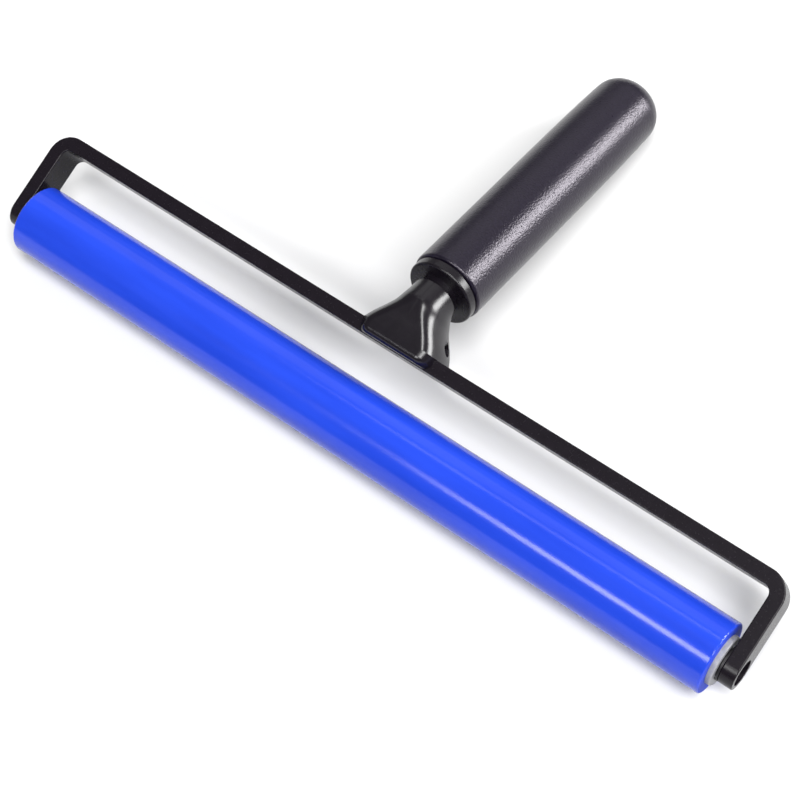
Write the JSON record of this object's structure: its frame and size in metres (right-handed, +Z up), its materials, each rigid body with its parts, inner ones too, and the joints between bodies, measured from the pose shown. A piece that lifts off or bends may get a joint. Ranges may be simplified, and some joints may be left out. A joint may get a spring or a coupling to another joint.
{
  "type": "brayer",
  "caption": "Wide hand roller: a glossy silicone sleeve turns on a fixed axle in a flat black U frame, with a plastic fan bracket and a drooping barrel grip with a domed end.",
  "frame": {"origin": "under the middle of the bounding box, on the table that the roller and the grip's end rest on", "axes": "+Z up, +X along the roller's axle to the right, +Y from the roller towards the handle"},
  "size_m": [0.322, 0.1892, 0.044],
  "materials": {
    "frame_black": "satin black anodised",
    "bracket_plastic": "satin moulded",
    "collar_plastic": "satin moulded",
    "grip_plastic": "fine sand grain",
    "roller_silicone": "glossy",
    "core_aluminium": "turned",
    "cap_grey": "satin light grey",
    "bearing_steel": "ground",
    "cage_steel": "pressed",
    "seal_rubber": "matte",
    "axle_steel": "drawn",
    "fastener_steel": "black oxide",
    "spacer_plastic": "satin"
  },
  "bodies": {
    "frame": {"frame_bar": "frame_black", "bracket": "bracket_plastic", "bar_screw": "fastener_steel", "cross_dowel": "fastener_steel", "grip_collar": "collar_plastic", "grip": "grip_plastic", "axle_rod": "axle_steel", "axle_screws": "fastener_steel", "axle_washers": "fastener_steel", "axle_spacer_left": "spacer_plastic", "axle_spacer_right": "spacer_plastic", "bearing_inner_ring_left": "bearing_steel", "bearing_inner_ring_right": "bearing_steel"},
    "roller": {"roller_sleeve": "roller_silicone", "core_tube": "core_aluminium", "end_cap_left": "cap_grey", "end_cap_right": "cap_grey", "bearing_outer_ring_left": "bearing_steel", "bearing_outer_ring_right": "bearing_steel", "bearing_seals_left": "seal_rubber", "bearing_seals_right": "seal_rubber"},
    "cage_left": {"bearing_cage_left": "cage_steel", "bearing_balls_left": "bearing_steel"},
    "cage_right": {"bearing_cage_right": "cage_steel", "bearing_balls_right": "bearing_steel"}
  },
  "joints": [
    {"name": "roller_spin", "type": "hinge", "parent": "frame", "child": "roller", "pos_m": [0, -0.08114, 0.0135], "axis": [1, 0, 0], "continuous": true},
    {"name": "cage_spin_left", "type": "hinge", "parent": "frame", "child": "cage_left", "pos_m": [-0.1515, -0.08114, 0.0135], "axis": [1, 0, 0], "continuous": true},
    {"name": "cage_spin_right", "type": "hinge", "parent": "frame", "child": "cage_right", "pos_m": [0.1515, -0.08114, 0.0135], "axis": [1, 0, 0], "continuous": true}
  ],
  "couplings": [
    {"joint": "cage_spin_left", "follows": "roller_spin", "ratio": 0.6053},
    {"joint": "cage_spin_right", "follows": "roller_spin", "ratio": 0.6053}
  ]
}
